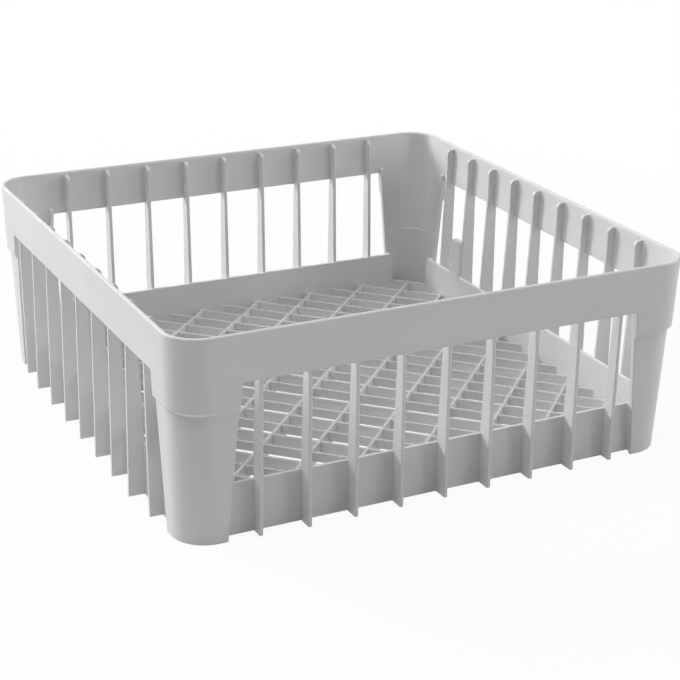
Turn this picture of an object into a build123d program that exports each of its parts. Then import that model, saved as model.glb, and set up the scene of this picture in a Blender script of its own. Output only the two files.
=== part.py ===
from build123d import *
from math import cos, radians, sin, sqrt
import os

# Glass rack of a commercial dishwasher: one open basket moulded in a single piece.
#
# The rack is a square box with no lid. A continuous rim band runs round the top and four
# corner posts run from the rim down to the table, where they are the feet. Between the
# posts each side is open, crossed by upright fins that join the rim to a low band set
# further in, and the floor is a grid of ribs lying at 45 degrees to the sides.
#
# Frame: +X runs along the front side to the right, +Y to the back and +Z up, with the
# origin on the table under the middle of the rack. All sizes are in millimetres, and an
# inset is measured inwards from the outside of the rim.

# Overall size, outside the rim
width = 400.0
depth = 400.0
height = 150.0
corner_radius = 25.0

# Rim band: its wall near the top, the rounding of its top edges, and its lower edge
rim_wall = 3.0
rim_rounding = 0.4 * rim_wall
rim_bottom = 115.5

# Corner posts: they lean in towards the feet, with a small shoulder on the outside and a
# small ledge on the inside
shoulder_top = 97.4
shoulder_foot = 94.6
shoulder_top_inset = 1.5
shoulder_foot_inset = 3.6
foot_inset = 6.7
post_wall = 2.5
ledge_height = 61.0
ledge = 0.55

# How far a post reaches along a side from the corner, at the rim and at the foot, and the
# thin flange that stiffens its edge
post_at_rim = 46.7
post_at_foot = 38.0
flange_wall = 2.6
flange_top = 119.5
flange_rounding = 1.5
flange_top_inset = 6.6
flange_band_inset = 9.0

# Low band between the posts
band_inset = 11.6
band_wall = 2.7
band_bottom = 1.8
band_top = 39.8

# Upright fins: straight beside the rim and deeper towards the foot. The two end ones of
# each side are cut back at the foot
fin_pitch = 35.0
fin_wall = 2.5
fin_top = 146.8
fin_rounding = 4.0
fin_outer_inset = 1.1
fin_inner_inset = 9.5
fin_foot_outer_inset = 0.0
fin_foot_inner_inset = 14.0
end_fin_relief = 2.4
fin_clearance = 8.0

# Marking plate on the low band of the right side, with one upper corner cut off
plate_top = 72.0
plate_length = 17.5
plate_inset = 10.2
plate_cut_along = 4.5
plate_cut_down = 10.0

# Floor grid at 45 degrees to the sides
floor_top = 15.0
grid_pitch = 37.0
rib_wall = 2.0
shallow_rib = 7.0

# How far walls that join reach into each other, and cuts reach past what they cut
bury = 1.0

half_x = width / 2
half_y = depth / 2
post_lean = (foot_inset - shoulder_foot_inset) / shoulder_foot


def post_reach(z):
    """How far a post reaches along a side from the corner, at a height z."""
    return post_at_foot + (post_at_rim - post_at_foot) * z / rim_bottom


def post_inset(z):
    """The outside of a post below its shoulder."""
    return foot_inset - post_lean * z


def rim_edge(inset, hand):
    """Height and inset of the points that round a top edge of the rim, outside (1) or inside (-1)."""
    points = []
    for angle in (0, 45, 90):
        rise = rim_rounding * sin(radians(angle))
        turn = rim_rounding * (1 - cos(radians(angle)))
        points.append((height - rim_rounding + rise, inset + hand * turn))
    return points


def fin_places(half_length):
    """Where the fins stand along a side, as many as fit between its two posts."""
    count = int((half_length - post_at_rim - fin_clearance) / fin_pitch)
    return [fin_pitch * i for i in range(-count, count + 1)]


def post_flanges(half_length, half_depth):
    """The flanges on the two posts of one side, built facing -Y."""
    foot = half_length - post_reach(band_bottom)
    head = half_length - post_reach(flange_top)
    with BuildPart() as flanges:
        # Seen from the front, they follow the leaning edges of the posts
        with BuildSketch(Plane.XZ):
            for hand in (-1, 1):
                with BuildLine():
                    Polyline(
                        (hand * foot, band_bottom),
                        (hand * (foot + flange_wall), band_bottom),
                        (hand * (head + flange_wall), flange_top),
                        (hand * head, flange_top),
                        close=True,
                    )
                make_face()
        extrude(amount=half_depth)

        # Seen from the end, they are shallower than the fins, and beside the band as deep as that
        with BuildSketch(Plane.YZ) as profile:
            with BuildLine():
                Polyline(
                    (foot_inset + bury - half_depth, 0),
                    (shoulder_foot_inset + bury - half_depth, shoulder_foot),
                    (shoulder_top_inset + bury - half_depth, flange_top),
                    (flange_top_inset - half_depth, flange_top),
                    (flange_band_inset - half_depth, band_top),
                    (band_inset + band_wall - half_depth, band_top),
                    (band_inset + band_wall - half_depth, 0),
                    close=True,
                )
            make_face()
            inner_top = profile.vertices().group_by(Axis.Y)[-1].sort_by(Axis.X)[-1]
            fillet(inner_top, radius=flange_rounding)
        extrude(amount=half_length, both=True, mode=Mode.INTERSECT)
    return flanges.part


def side(half_length, half_depth):
    """The fins, the low band and the post flanges of one side, built facing -Y."""
    flanges = post_flanges(half_length, half_depth)
    band_foot = half_length - post_reach(band_bottom) + flange_wall
    band_head = half_length - post_reach(band_top) + flange_wall
    places = fin_places(half_length)
    with BuildPart() as wall:
        add(flanges)

        # Low band, from one flange to the other
        with BuildSketch(Plane.XZ.offset(half_depth - band_inset - band_wall)):
            with BuildLine():
                Polyline(
                    (-band_foot, band_bottom),
                    (band_foot, band_bottom),
                    (band_head, band_top),
                    (-band_head, band_top),
                    close=True,
                )
            make_face()
        extrude(amount=band_wall)

        # Fins, with a rounded corner at the top inside
        for x in places:
            relief = end_fin_relief if x in (places[0], places[-1]) else 0.0
            with BuildSketch(Plane.YZ.offset(x)) as fin:
                with BuildLine():
                    Polyline(
                        (fin_foot_outer_inset + relief - half_depth, band_bottom),
                        (fin_outer_inset - half_depth, rim_bottom),
                        (fin_outer_inset - half_depth, fin_top),
                        (fin_inner_inset - half_depth, fin_top),
                        (fin_inner_inset - half_depth, rim_bottom),
                        (fin_foot_inner_inset - half_depth, band_bottom),
                        close=True,
                    )
                make_face()
                inner_top = fin.vertices().group_by(Axis.Y)[-1].sort_by(Axis.X)[-1]
                fillet(inner_top, radius=fin_rounding)
        extrude(amount=fin_wall / 2, both=True)
    return wall.part


front_and_back = side(half_x, half_y)
left_and_right = side(half_y, half_x)

with BuildPart() as rack:
    # Outer form: rounded square sections from the feet up to the rim
    lower_sections = [
        (0, foot_inset),
        (shoulder_foot, shoulder_foot_inset),
        (shoulder_top, shoulder_top_inset),
    ]
    for z, inset in lower_sections + rim_edge(0, 1):
        with BuildSketch(Plane.XY.offset(z)):
            RectangleRounded(width - 2 * inset, depth - 2 * inset, corner_radius)
    loft(ruled=True)

    # Hollow, open at the top and the bottom, with the ledge part of the way up
    ledge_inset = post_inset(ledge_height) + post_wall
    under_ledge = [(-bury, post_inset(-bury) + post_wall), (ledge_height, ledge_inset)]
    over_ledge = [(ledge_height, ledge_inset - ledge)] + rim_edge(rim_wall, -1)
    for sections in (under_ledge, over_ledge):
        for z, inset in sections:
            with BuildSketch(Plane.XY.offset(z)):
                RectangleRounded(width - 2 * inset, depth - 2 * inset, corner_radius - rim_wall)
        loft(ruled=True, mode=Mode.SUBTRACT)

    # Openings between the posts, under the rim
    for plane, half_length, half_depth in ((Plane.XZ, half_x, half_y), (Plane.YZ, half_y, half_x)):
        foot = half_length - post_reach(-bury)
        head = half_length - post_at_rim
        with BuildSketch(plane):
            with BuildLine():
                Polyline((-foot, -bury), (foot, -bury), (head, rim_bottom), (-head, rim_bottom), close=True)
            make_face()
        extrude(amount=half_depth + bury, both=True, mode=Mode.SUBTRACT)

    # The four sides
    sides = ((0, front_and_back), (90, left_and_right), (180, front_and_back), (270, left_and_right))
    for turn, wall in sides:
        add(wall, rotation=(0, 0, turn))

    # Marking plate: it rises from the band at the last fin but one, towards the back
    plate_start = fin_places(half_y)[-2] - bury
    plate_end = plate_start + plate_length
    with BuildSketch(Plane.YZ.offset(half_x - band_inset - band_wall)):
        with BuildLine():
            Polyline(
                (plate_start, band_top - bury),
                (plate_end, band_top - bury),
                (plate_end, plate_top - plate_cut_down),
                (plate_end - plate_cut_along, plate_top),
                (plate_start, plate_top),
                close=True,
            )
        make_face()
    extrude(amount=band_inset + band_wall - plate_inset)

    # Floor outline: it ends inside the low bands, and just past a tie across each corner
    edge_x = half_x - band_inset - band_wall + bury
    edge_y = half_y - band_inset - band_wall + bury
    tie = (half_x - post_at_foot + flange_wall / 2 + half_y - band_inset - band_wall) / sqrt(2)
    corner = (tie + rib_wall) * sqrt(2)
    outline = [
        (edge_x, corner - edge_x),
        (corner - edge_y, edge_y),
        (edge_y - corner, edge_y),
        (-edge_x, corner - edge_x),
        (-edge_x, edge_x - corner),
        (edge_y - corner, -edge_y),
        (corner - edge_y, -edge_y),
        (edge_x, edge_x - corner),
    ]

    # Deep ribs both ways with the corner ties, and shallow ribs between the deep ones one way.
    # Each rib is placed by its distance from the middle of the floor.
    count = int((tie - grid_pitch / 2) / grid_pitch)
    deep_ribs = [grid_pitch * i for i in range(-count, count + 1)] + [-tie, tie]
    shallow_ribs = [grid_pitch * (i + 0.5) for i in range(-count, count)]
    with BuildSketch(Plane.XY.offset(band_bottom)):
        for turn in (-45, 45):
            hand = -turn / 45
            with Locations(*[(hand * d / sqrt(2), d / sqrt(2)) for d in deep_ribs]):
                Rectangle(width + depth, rib_wall, rotation=turn)
        with BuildLine():
            Polyline(*outline, close=True)
        make_face(mode=Mode.INTERSECT)
    extrude(amount=floor_top - band_bottom)
    with BuildSketch(Plane.XY.offset(floor_top - shallow_rib)):
        with Locations(*[(d / sqrt(2), d / sqrt(2)) for d in shallow_ribs]):
            Rectangle(width + depth, rib_wall, rotation=-45)
        with BuildLine():
            Polyline(*outline, close=True)
        make_face(mode=Mode.INTERSECT)
    extrude(amount=shallow_rib)

os.makedirs("parts", exist_ok=True)
rack.part.label = "rack"
export_step(rack.part, "parts/rack.step")
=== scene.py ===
import math

import bpy
from bpy.props import FloatProperty, FloatVectorProperty, PointerProperty
from mathutils import Matrix, Vector


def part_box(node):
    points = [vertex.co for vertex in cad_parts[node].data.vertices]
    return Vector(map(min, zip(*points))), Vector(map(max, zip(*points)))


bl_info = {
    "name": "Glass Rack Finish",
    "version": (1, 0, 0),
    "blender": (4, 5, 0),
    "location": "3D View > Sidebar > Glass Rack",
    "description": "Gives the moulded glass rack its plastic and sets up a white studio around it",
    "category": "Object",
}

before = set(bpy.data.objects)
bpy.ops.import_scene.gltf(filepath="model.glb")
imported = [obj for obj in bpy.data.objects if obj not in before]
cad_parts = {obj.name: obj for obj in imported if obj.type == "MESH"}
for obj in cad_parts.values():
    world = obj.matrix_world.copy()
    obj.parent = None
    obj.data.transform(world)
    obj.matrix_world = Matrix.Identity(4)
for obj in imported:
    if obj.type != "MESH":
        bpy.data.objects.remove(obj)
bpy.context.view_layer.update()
RACK = "rack"

# Picture that the camera is set for, in pixels, and the width of its sensor in millimetres
PICTURE_SIDE = 680
SENSOR_WIDTH = 36.0

# Half the width of the rack and the height of its rim, from its highest corner in the CAD
HALF_WIDTH, _, RIM_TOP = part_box(RACK)[1]

# Distance between two fins, and the height of the tops of the floor ribs
FIN_PITCH = 0.035
FLOOR_TOP = 0.015

# Flow lines on the inside of the rim as height and strength, with the distances from a fin at which
# they start and end, the fade of their edges, and where a wall stops being the inside of the rim
FLOW_LINES = ((RIM_TOP - 0.0205, 1.0), (RIM_TOP - 0.0175, 0.5))
FLOW_START = (0.001, 0.003)
FLOW_END = (0.009, 0.0145)
FLOW_EDGE = (0.0001, 0.0006)
RIM_INSIDE = (HALF_WIDTH - 0.0025, HALF_WIDTH - 0.0015)

# Tops of the floor ribs: the distance from their height, and how level a face is
RIB_TOP_REACH = (0.0003, 0.0006)
RIB_TOP_LEVEL = (0.6, 0.9)

# Patterns in the plastic as noise scale, detail and roughness, and the stretch of the flow streaks
CLOUDS = (22.0, 3.0, 0.5)
STREAKS = (1.0, 2.0, 0.5)
GRAIN = (2400.0, 2.0, 0.6)
SPECKS = (700.0, 3.0, 0.7)
FLOW_PATCHES = (31.0, 0.0, 0.5)
STREAK_STRETCH = (5.0, 5.0, 150.0)
NOISE_MIDDLE = 0.5

# Where a pattern starts to count and where it counts in full
CLOUD_STEP = (0.3, 0.7)
# The next step sets the patches of painted shade on the rib tops
RIB_TOP_SHADE_STEP = (0.2, 0.6)
FLOW_STEP = (0.44, 0.56)
EDGE_STEP = (0.1, 0.4)

# Shares of the patterns in the colour, in the roughness and, in grain depths, in the relief
CLOUD_SHARE = 0.6
STREAK_SHARE = 0.4
# The next share is of the painted highlight on the edges
EDGE_HIGHLIGHT = 0.6
CLOUD_ROUGHNESS = 0.06
SPECK_ROUGHNESS = 0.1
# The next roughness goes with the painted shade on the rib tops
RIB_TOP_ROUGHNESS = 0.12
STREAK_RELIEF = 0.5
FLOW_RELIEF = 6.0

# Refraction of the plastic, and the samples that round its edges
PLASTIC_IOR = 1.49
EDGE_SAMPLES = 6

# Studio: sides of the round floor, and the share of the shadow's reach where the floor turns whiter
FLOOR_SIDES = 96
SHADOW_START = 1 / 3
WHITE = (1.0, 1.0, 1.0, 1.0)
BLACK = (0.0, 0.0, 0.0, 1.0)

# Soft lamps as name, azimuth from the front towards the right, elevation, size and power. They all
# stand at one distance from the point that they are aimed at.
LAMPS = (
    ("key_lamp", -143.0, 27.5, 1.8, 132.0),
    ("high_left_lamp", -90.0, 60.0, 2.0, 51.0),
    ("top_lamp", 0.0, 76.0, 2.0, 38.0),
    ("right_front_lamp", 45.0, 36.0, 1.2, 26.0),
    ("right_lamp", 75.0, 20.0, 1.2, 38.0),
)
LAMP_DISTANCE = 4.0
LAMP_AIM = Vector((0.0, 0.0, 0.07))

# Sockets of a Mix node when it mixes colours
MIX_AMOUNT, MIX_FIRST, MIX_SECOND, MIX_RESULT = 0, 6, 7, 2


class Wire:
    """A value in a node tree, which can be used in sums."""

    def __init__(self, recipe, socket):
        self.recipe = recipe
        self.socket = socket

    def __add__(self, other):
        return self.recipe.math("ADD", self, other)

    def __radd__(self, other):
        return self.recipe.math("ADD", other, self)

    def __sub__(self, other):
        return self.recipe.math("SUBTRACT", self, other)

    def __rsub__(self, other):
        return self.recipe.math("SUBTRACT", other, self)

    def __mul__(self, other):
        return self.recipe.math("MULTIPLY", self, other)

    def __rmul__(self, other):
        return self.recipe.math("MULTIPLY", other, self)


class Recipe:
    """Adds the nodes of one finish or one modifier to its tree."""

    def __init__(self, tree):
        self.tree = tree
        tree.nodes.clear()

    def node(self, kind, settings=(), sockets=()):
        """A node of that kind, with its settings made first and then its sockets fed."""
        made = self.tree.nodes.new(kind)
        for name, value in dict(settings).items():
            setattr(made, name, value)
        for name, value in dict(sockets).items():
            self.feed(made.inputs[name], value)
        return made

    def feed(self, socket, value):
        """Links a wire or a socket to this socket, or sets it to a plain value."""
        if isinstance(value, Wire):
            self.tree.links.new(value.socket, socket)
        elif isinstance(value, bpy.types.NodeSocket):
            self.tree.links.new(value, socket)
        else:
            socket.default_value = value

    def out(self, made, name):
        return Wire(self, made.outputs[name])

    def math(self, operation, first, second=0.0):
        made = self.node("ShaderNodeMath", {"operation": operation}, {0: first, 1: second})
        return self.out(made, 0)

    def split(self, place):
        """The x, y and z of a place."""
        made = self.node("ShaderNodeSeparateXYZ", sockets={"Vector": place})
        return [self.out(made, axis) for axis in "XYZ"]

    def size(self, value):
        """A number without its sign."""
        return self.math("ABSOLUTE", value)

    def between(self, value, low, high):
        """0 below low, 1 above high and a smooth step between them."""
        made = self.node(
            "ShaderNodeMapRange",
            {"interpolation_type": "SMOOTHSTEP"},
            {"Value": value, "From Min": low, "From Max": high},
        )
        return self.out(made, "Result")

    def noise(self, place, scale, detail, roughness):
        """A smooth random pattern between 0 and 1."""
        made = self.node(
            "ShaderNodeTexNoise",
            {"noise_dimensions": "3D"},
            {"Vector": place, "Scale": scale, "Detail": detail, "Roughness": roughness},
        )
        return self.out(made, "Fac")

    def stretched(self, place, scale):
        """A place scaled along each axis by itself."""
        made = self.node(
            "ShaderNodeMapping",
            {"vector_type": "POINT"},
            {"Vector": place, "Scale": scale},
        )
        return self.out(made, "Vector")

    def tint(self, amount, first, second):
        """One colour turned into another by an amount."""
        made = self.node(
            "ShaderNodeMix",
            {"data_type": "RGBA", "blend_type": "MIX"},
            {MIX_AMOUNT: amount, MIX_FIRST: first, MIX_SECOND: second},
        )
        return self.out(made, MIX_RESULT)


class RackWallSettings(bpy.types.PropertyGroup):
    merge_distance: FloatProperty(
        name="Merge distance",
        description="Corners of the imported triangles nearer than this are one corner",
        default=0.00001,
        unit="LENGTH",
    )
    crease_angle: FloatProperty(
        name="Crease angle",
        description="Walls that meet at less than this angle are shaded as one curved wall",
        default=math.radians(24),
        subtype="ANGLE",
    )


class RackPlasticSettings(bpy.types.PropertyGroup):
    colour: FloatVectorProperty(
        name="Plastic colour",
        description="Light grey of the moulded plastic",
        default=(0.72, 0.72, 0.72, 1.0),
        size=4,
        subtype="COLOR",
    )
    cloud_colour: FloatVectorProperty(
        name="Cloud colour",
        description="Slightly darker grey where the pigment is denser",
        default=(0.695, 0.695, 0.695, 1.0),
        size=4,
        subtype="COLOR",
    )
    # Paler grey painted on the edges as a highlight, and also the colour of the flow lines
    edge_highlight_and_flow_colour: FloatVectorProperty(
        name="Edge highlight and flow colour",
        description="Paler grey of rubbed edges and flow lines",
        default=(0.79, 0.79, 0.79, 1.0),
        size=4,
        subtype="COLOR",
    )
    # Darker grey painted on the rib tops as shade
    rib_top_shade_colour: FloatVectorProperty(
        name="Rib top shade colour",
        description="Duller grey of the rib tops that the glasses stand on",
        default=(0.51, 0.51, 0.51, 1.0),
        size=4,
        subtype="COLOR",
    )
    edge_rounding: FloatProperty(
        name="Edge rounding",
        description="Radius that light sees on every moulded edge",
        default=0.0009,
        unit="LENGTH",
    )
    roughness: FloatProperty(
        name="Roughness",
        description="Roughness of the satin mould finish",
        default=0.46,
        subtype="FACTOR",
    )
    grain_depth: FloatProperty(
        name="Grain depth",
        description="Depth of the fine grain that the mould leaves",
        default=0.00002,
        unit="LENGTH",
    )


class RackStudioSettings(bpy.types.PropertyGroup):
    floor_radius: FloatProperty(
        name="Floor radius",
        description="Radius of the round studio floor",
        default=6.0,
        unit="LENGTH",
    )
    floor_colour: FloatVectorProperty(
        name="Floor colour",
        description="Pale colour of the studio floor",
        default=(0.73, 0.73, 0.73, 1.0),
        size=4,
        subtype="COLOR",
    )
    floor_glow: FloatProperty(
        name="Floor whiteness",
        description="Share of plain white in the floor round the rack, as the camera sees it",
        default=0.93,
        subtype="FACTOR",
    )
    shadow_reach: FloatProperty(
        name="Shadow reach",
        description="Distance from the middle at which the floor has turned plain white",
        default=0.9,
        unit="LENGTH",
    )
    azimuth: FloatProperty(
        name="Azimuth",
        description="Turn of the camera round the rack, from the front",
        default=math.radians(-26.8496),
        subtype="ANGLE",
    )
    elevation: FloatProperty(
        name="Elevation",
        description="Height of the camera above the horizon",
        default=math.radians(21.5447),
        subtype="ANGLE",
    )
    roll: FloatProperty(
        name="Roll",
        description="Tilt of the picture",
        default=0.0155,
        subtype="ANGLE",
    )
    distance: FloatProperty(
        name="Distance",
        description="Distance from the camera to the point it looks at",
        default=1.28005,
        unit="LENGTH",
    )
    target: FloatVectorProperty(
        name="Target",
        description="Point that the camera looks at",
        default=(-0.01716, -0.06651, 0.075),
        size=3,
        subtype="XYZ",
        unit="LENGTH",
    )
    focal_pixels: FloatProperty(
        name="Focal length in pixels",
        description="Focal length measured in pixels of the picture",
        default=1717.80,
        subtype="PIXEL",
    )


def rack_wall_nodes(settings):
    """Geometry nodes that join the triangles and shade the curved walls smooth."""
    tree = bpy.data.node_groups.new("rack_smooth_walls", "GeometryNodeTree")
    tree.interface.new_socket("Geometry", in_out="INPUT", socket_type="NodeSocketGeometry")
    tree.interface.new_socket("Geometry", in_out="OUTPUT", socket_type="NodeSocketGeometry")
    recipe = Recipe(tree)
    start = recipe.node("NodeGroupInput")
    joined = recipe.node(
        "GeometryNodeMergeByDistance",
        sockets={"Geometry": start.outputs[0], "Distance": settings.merge_distance},
    )
    smooth = recipe.node(
        "GeometryNodeSetShadeSmooth",
        {"domain": "FACE"},
        {"Geometry": joined.outputs[0], "Shade Smooth": True},
    )
    bend = recipe.node("GeometryNodeInputMeshEdgeAngle")
    crease = recipe.node(
        "FunctionNodeCompare",
        {"data_type": "FLOAT", "operation": "GREATER_THAN"},
        {0: bend.outputs["Unsigned Angle"], 1: settings.crease_angle},
    )
    creased = recipe.node(
        "GeometryNodeSetShadeSmooth",
        {"domain": "EDGE"},
        {"Geometry": smooth.outputs[0], "Selection": crease.outputs[0], "Shade Smooth": False},
    )
    recipe.node("NodeGroupOutput", sockets={0: creased.outputs[0]})
    return tree


def flow_lines(recipe, place):
    """1 on the short lines that the melt leaves on the inside of the rim, before each fin."""
    x, y, z = recipe.split(place)
    reach = recipe.math("MAXIMUM", recipe.size(x), recipe.size(y))
    inside = 1 - recipe.between(reach, *RIM_INSIDE)
    on_front = recipe.math("GREATER_THAN", recipe.size(y), recipe.size(x))
    along = on_front * x + (1 - on_front) * y
    bay = recipe.math("FRACT", along * (1 / FIN_PITCH) + 0.5)
    before = (0.5 - bay) * FIN_PITCH
    stretch = recipe.between(before, *FLOW_START) * (1 - recipe.between(before, *FLOW_END))
    some = recipe.between(recipe.noise(place, *FLOW_PATCHES), *FLOW_STEP)
    lines = sum(
        strength * (1 - recipe.between(recipe.size(z - height), *FLOW_EDGE))
        for height, strength in FLOW_LINES
    )
    return lines * stretch * inside * some


def rib_tops(recipe, place, facing):
    """1 on the tops of the floor ribs, where the glasses stand."""
    height = recipe.split(place)[2]
    level = recipe.split(facing)[2]
    near = 1 - recipe.between(recipe.size(height - FLOOR_TOP), *RIB_TOP_REACH)
    return near * recipe.between(level, *RIB_TOP_LEVEL)


def rack_plastic(settings):
    """Satin grey plastic: clouding, flow marks, painted edge highlight, painted shade on rib tops,
    mould grain.
    """
    material = bpy.data.materials.new("grey_rack_plastic")
    material.use_nodes = True
    recipe = Recipe(material.node_tree)
    place = recipe.out(recipe.node("ShaderNodeTexCoord"), "Object")
    cloud = recipe.between(recipe.noise(place, *CLOUDS), *CLOUD_STEP)
    streak = recipe.noise(recipe.stretched(place, STREAK_STRETCH), *STREAKS)
    grain = recipe.noise(place, *GRAIN)
    speck = recipe.noise(place, *SPECKS)
    flow = flow_lines(recipe, place)

    # An edge is where the rounded wall turns away from the flat one
    rounded = recipe.node(
        "ShaderNodeBevel",
        {"samples": EDGE_SAMPLES},
        {"Radius": settings.edge_rounding},
    )
    flat = recipe.node("ShaderNodeNewGeometry")
    turn = recipe.node(
        "ShaderNodeVectorMath",
        {"operation": "DOT_PRODUCT"},
        {0: rounded.outputs["Normal"], 1: flat.outputs["True Normal"]},
    )
    edge = recipe.between(1 - recipe.out(turn, "Value"), *EDGE_STEP)
    tops = rib_tops(recipe, place, recipe.out(flat, "True Normal"))
    # Painted shade on the rib tops, in patches set by the specks
    rib_top_shade = tops * recipe.between(speck, *RIB_TOP_SHADE_STEP)

    darker = cloud * CLOUD_SHARE + streak * STREAK_SHARE
    # Painted highlight on the edges, in patches set by the specks, plus the flow lines
    paler = recipe.math("MINIMUM", edge * speck * EDGE_HIGHLIGHT + flow, 1.0)
    clouded = recipe.tint(darker, tuple(settings.colour), tuple(settings.cloud_colour))
    shaded_rib_tops = recipe.tint(rib_top_shade, clouded, tuple(settings.rib_top_shade_colour))
    coloured = recipe.tint(paler, shaded_rib_tops, tuple(settings.edge_highlight_and_flow_colour))
    rough = (
        settings.roughness
        + (cloud - NOISE_MIDDLE) * CLOUD_ROUGHNESS
        + (speck - NOISE_MIDDLE) * SPECK_ROUGHNESS
        + rib_top_shade * RIB_TOP_ROUGHNESS
    )
    bump = recipe.node(
        "ShaderNodeBump",
        sockets={
            "Strength": 1.0,
            "Distance": settings.grain_depth,
            "Height": grain + streak * STREAK_RELIEF + flow * FLOW_RELIEF,
            "Normal": rounded.outputs["Normal"],
        },
    )
    shader = recipe.node(
        "ShaderNodeBsdfPrincipled",
        sockets={
            "Base Color": coloured,
            "Roughness": rough,
            "IOR": PLASTIC_IOR,
            "Normal": bump.outputs["Normal"],
        },
    )
    recipe.node("ShaderNodeOutputMaterial", sockets={"Surface": shader.outputs[0]})
    return material


def seen_directly(recipe):
    """1 for what the camera sees itself, in a gloss or through something clear, and else 0."""
    path = recipe.node("ShaderNodeLightPath")
    camera = recipe.out(path, "Is Camera Ray")
    gloss = recipe.out(path, "Is Glossy Ray")
    clear = recipe.out(path, "Is Transmission Ray")
    return recipe.math("MAXIMUM", recipe.math("MAXIMUM", camera, gloss), clear)


def floor_finish(settings):
    """Pale matt floor that reads as white, with the rack's shadow left on it."""
    material = bpy.data.materials.new("studio_floor")
    material.use_nodes = True
    recipe = Recipe(material.node_tree)
    place = recipe.out(recipe.node("ShaderNodeTexCoord"), "Object")
    away = recipe.node("ShaderNodeVectorMath", {"operation": "LENGTH"}, {0: place})
    reach = settings.shadow_reach
    fade = recipe.between(recipe.out(away, "Value"), SHADOW_START * reach, reach)
    whiteness = settings.floor_glow + (1 - settings.floor_glow) * fade
    matt = recipe.node("ShaderNodeBsdfDiffuse", sockets={"Color": tuple(settings.floor_colour)})
    white = recipe.node("ShaderNodeEmission", sockets={"Color": WHITE, "Strength": 1.0})
    mixed = recipe.node(
        "ShaderNodeMixShader",
        sockets={
            0: seen_directly(recipe) * whiteness,
            1: matt.outputs[0],
            2: white.outputs[0],
        },
    )
    recipe.node("ShaderNodeOutputMaterial", sockets={"Surface": mixed.outputs[0]})
    return material


def studio_world():
    """White behind the rack that gives no light of its own."""
    world = bpy.data.worlds.new("studio_surround")
    world.use_nodes = True
    recipe = Recipe(world.node_tree)
    dark = recipe.node("ShaderNodeBackground", sockets={"Color": BLACK, "Strength": 0.0})
    white = recipe.node("ShaderNodeBackground", sockets={"Color": WHITE, "Strength": 1.0})
    mixed = recipe.node(
        "ShaderNodeMixShader",
        sockets={0: seen_directly(recipe), 1: dark.outputs[0], 2: white.outputs[0]},
    )
    recipe.node("ShaderNodeOutputWorld", sockets={"Surface": mixed.outputs[0]})
    return world


def direction(azimuth, elevation):
    """Direction from the rack, with azimuth 0 at its front and 90 at its right."""
    level = math.cos(elevation)
    return Vector((math.sin(azimuth) * level, -math.cos(azimuth) * level, math.sin(elevation)))


class OBJECT_OT_rack_walls(bpy.types.Operator):
    """Shade the rack's curved corners smooth and keep its edges crisp"""

    bl_idname = "object.rack_walls"
    bl_label = "Smooth rack walls"

    def execute(self, context):
        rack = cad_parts[RACK]
        smoother = rack.modifiers.new("smooth_walls", "NODES")
        smoother.node_group = rack_wall_nodes(context.scene.rack_walls)
        return {"FINISHED"}


class OBJECT_OT_rack_plastic(bpy.types.Operator):
    """Give the rack its grey moulded plastic"""

    bl_idname = "object.rack_plastic"
    bl_label = "Rack plastic"

    def execute(self, context):
        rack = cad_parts[RACK]
        rack.material_slots[0].material = rack_plastic(context.scene.rack_plastic)
        return {"FINISHED"}


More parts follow.
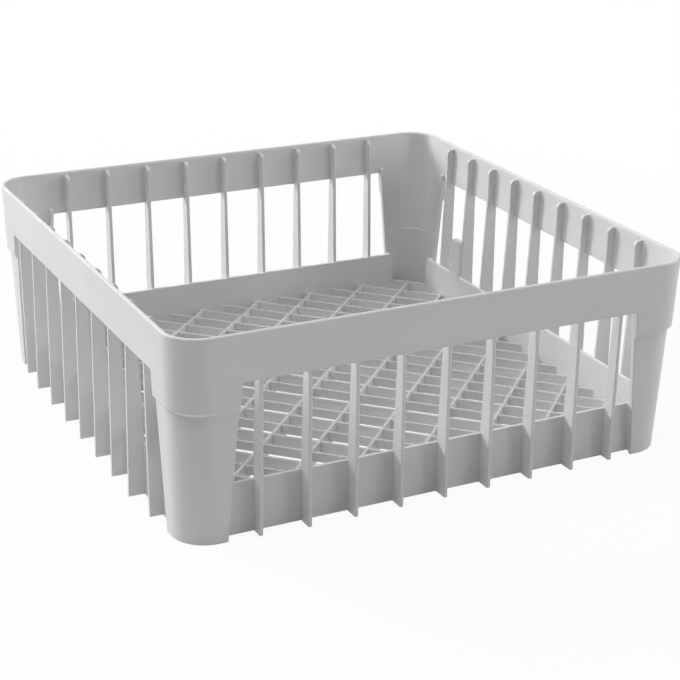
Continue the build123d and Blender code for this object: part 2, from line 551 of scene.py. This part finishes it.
class OBJECT_OT_rack_studio(bpy.types.Operator):
    """Set up the white floor, the soft lamps and the camera"""

    bl_idname = "object.rack_studio"
    bl_label = "Rack studio"

    def execute(self, context):
        settings = context.scene.rack_studio
        bpy.ops.object.select_all(action="DESELECT")
        bpy.ops.mesh.primitive_circle_add(
            vertices=FLOOR_SIDES,
            radius=settings.floor_radius,
            fill_type="NGON",
        )
        ground = context.active_object
        ground.name = "studio_floor"
        ground.data.materials.append(floor_finish(settings))
        context.scene.world = studio_world()
        for name, azimuth, elevation, size, power in LAMPS:
            self.add_lamp(context, name, azimuth, elevation, size, power)
        self.add_camera(context, settings)
        context.scene.view_settings.view_transform = "Standard"
        return {"FINISHED"}

    def add_lamp(self, context, name, azimuth, elevation, size, power):
        way = direction(math.radians(azimuth), math.radians(elevation))
        bpy.ops.object.light_add(type="AREA", location=LAMP_AIM + way * LAMP_DISTANCE)
        lamp = context.active_object
        lamp.name = name
        lamp.rotation_euler = way.to_track_quat("Z", "Y").to_euler()
        lamp.data.shape = "DISK"
        lamp.data.size = size
        lamp.data.energy = power
        lamp.visible_camera = False

    def add_camera(self, context, settings):
        back = direction(settings.azimuth, settings.elevation)
        eye = Vector(settings.target) + back * settings.distance
        bpy.ops.object.camera_add(location=eye)
        camera = context.active_object
        camera.name = "studio_camera"
        turned = back.to_track_quat("Z", "Y").to_matrix() @ Matrix.Rotation(settings.roll, 3, "Z")
        camera.rotation_euler = turned.to_euler()
        camera.data.sensor_width = SENSOR_WIDTH
        camera.data.lens = settings.focal_pixels * SENSOR_WIDTH / PICTURE_SIDE
        context.scene.camera = camera


class VIEW3D_PT_glass_rack(bpy.types.Panel):
    """Lists the steps that finish the glass rack"""

    bl_idname = "VIEW3D_PT_glass_rack"
    bl_label = "Glass Rack"
    bl_space_type = "VIEW_3D"
    bl_region_type = "UI"
    bl_category = "Glass Rack"

    def draw(self, context):
        scene = context.scene
        for step, settings in STEPS:
            box = self.layout.box()
            box.operator(step.bl_idname)
            values = getattr(scene, settings)
            for name in values.__annotations__:
                box.prop(values, name)


STEPS = (
    (OBJECT_OT_rack_walls, "rack_walls"),
    (OBJECT_OT_rack_plastic, "rack_plastic"),
    (OBJECT_OT_rack_studio, "rack_studio"),
)

SETTINGS = (
    ("rack_walls", RackWallSettings),
    ("rack_plastic", RackPlasticSettings),
    ("rack_studio", RackStudioSettings),
)


def register():
    for name, group in SETTINGS:
        bpy.utils.register_class(group)
        setattr(bpy.types.Scene, name, PointerProperty(type=group))
    for step, _ in STEPS:
        bpy.utils.register_class(step)
    bpy.utils.register_class(VIEW3D_PT_glass_rack)


def unregister():
    bpy.utils.unregister_class(VIEW3D_PT_glass_rack)
    for step, _ in reversed(STEPS):
        bpy.utils.unregister_class(step)
    for name, group in reversed(SETTINGS):
        delattr(bpy.types.Scene, name)
        bpy.utils.unregister_class(group)


def main():
    register()
    bpy.ops.object.rack_walls()
    bpy.ops.object.rack_plastic()
    bpy.ops.object.rack_studio()


if __name__ == "__main__":
    main()
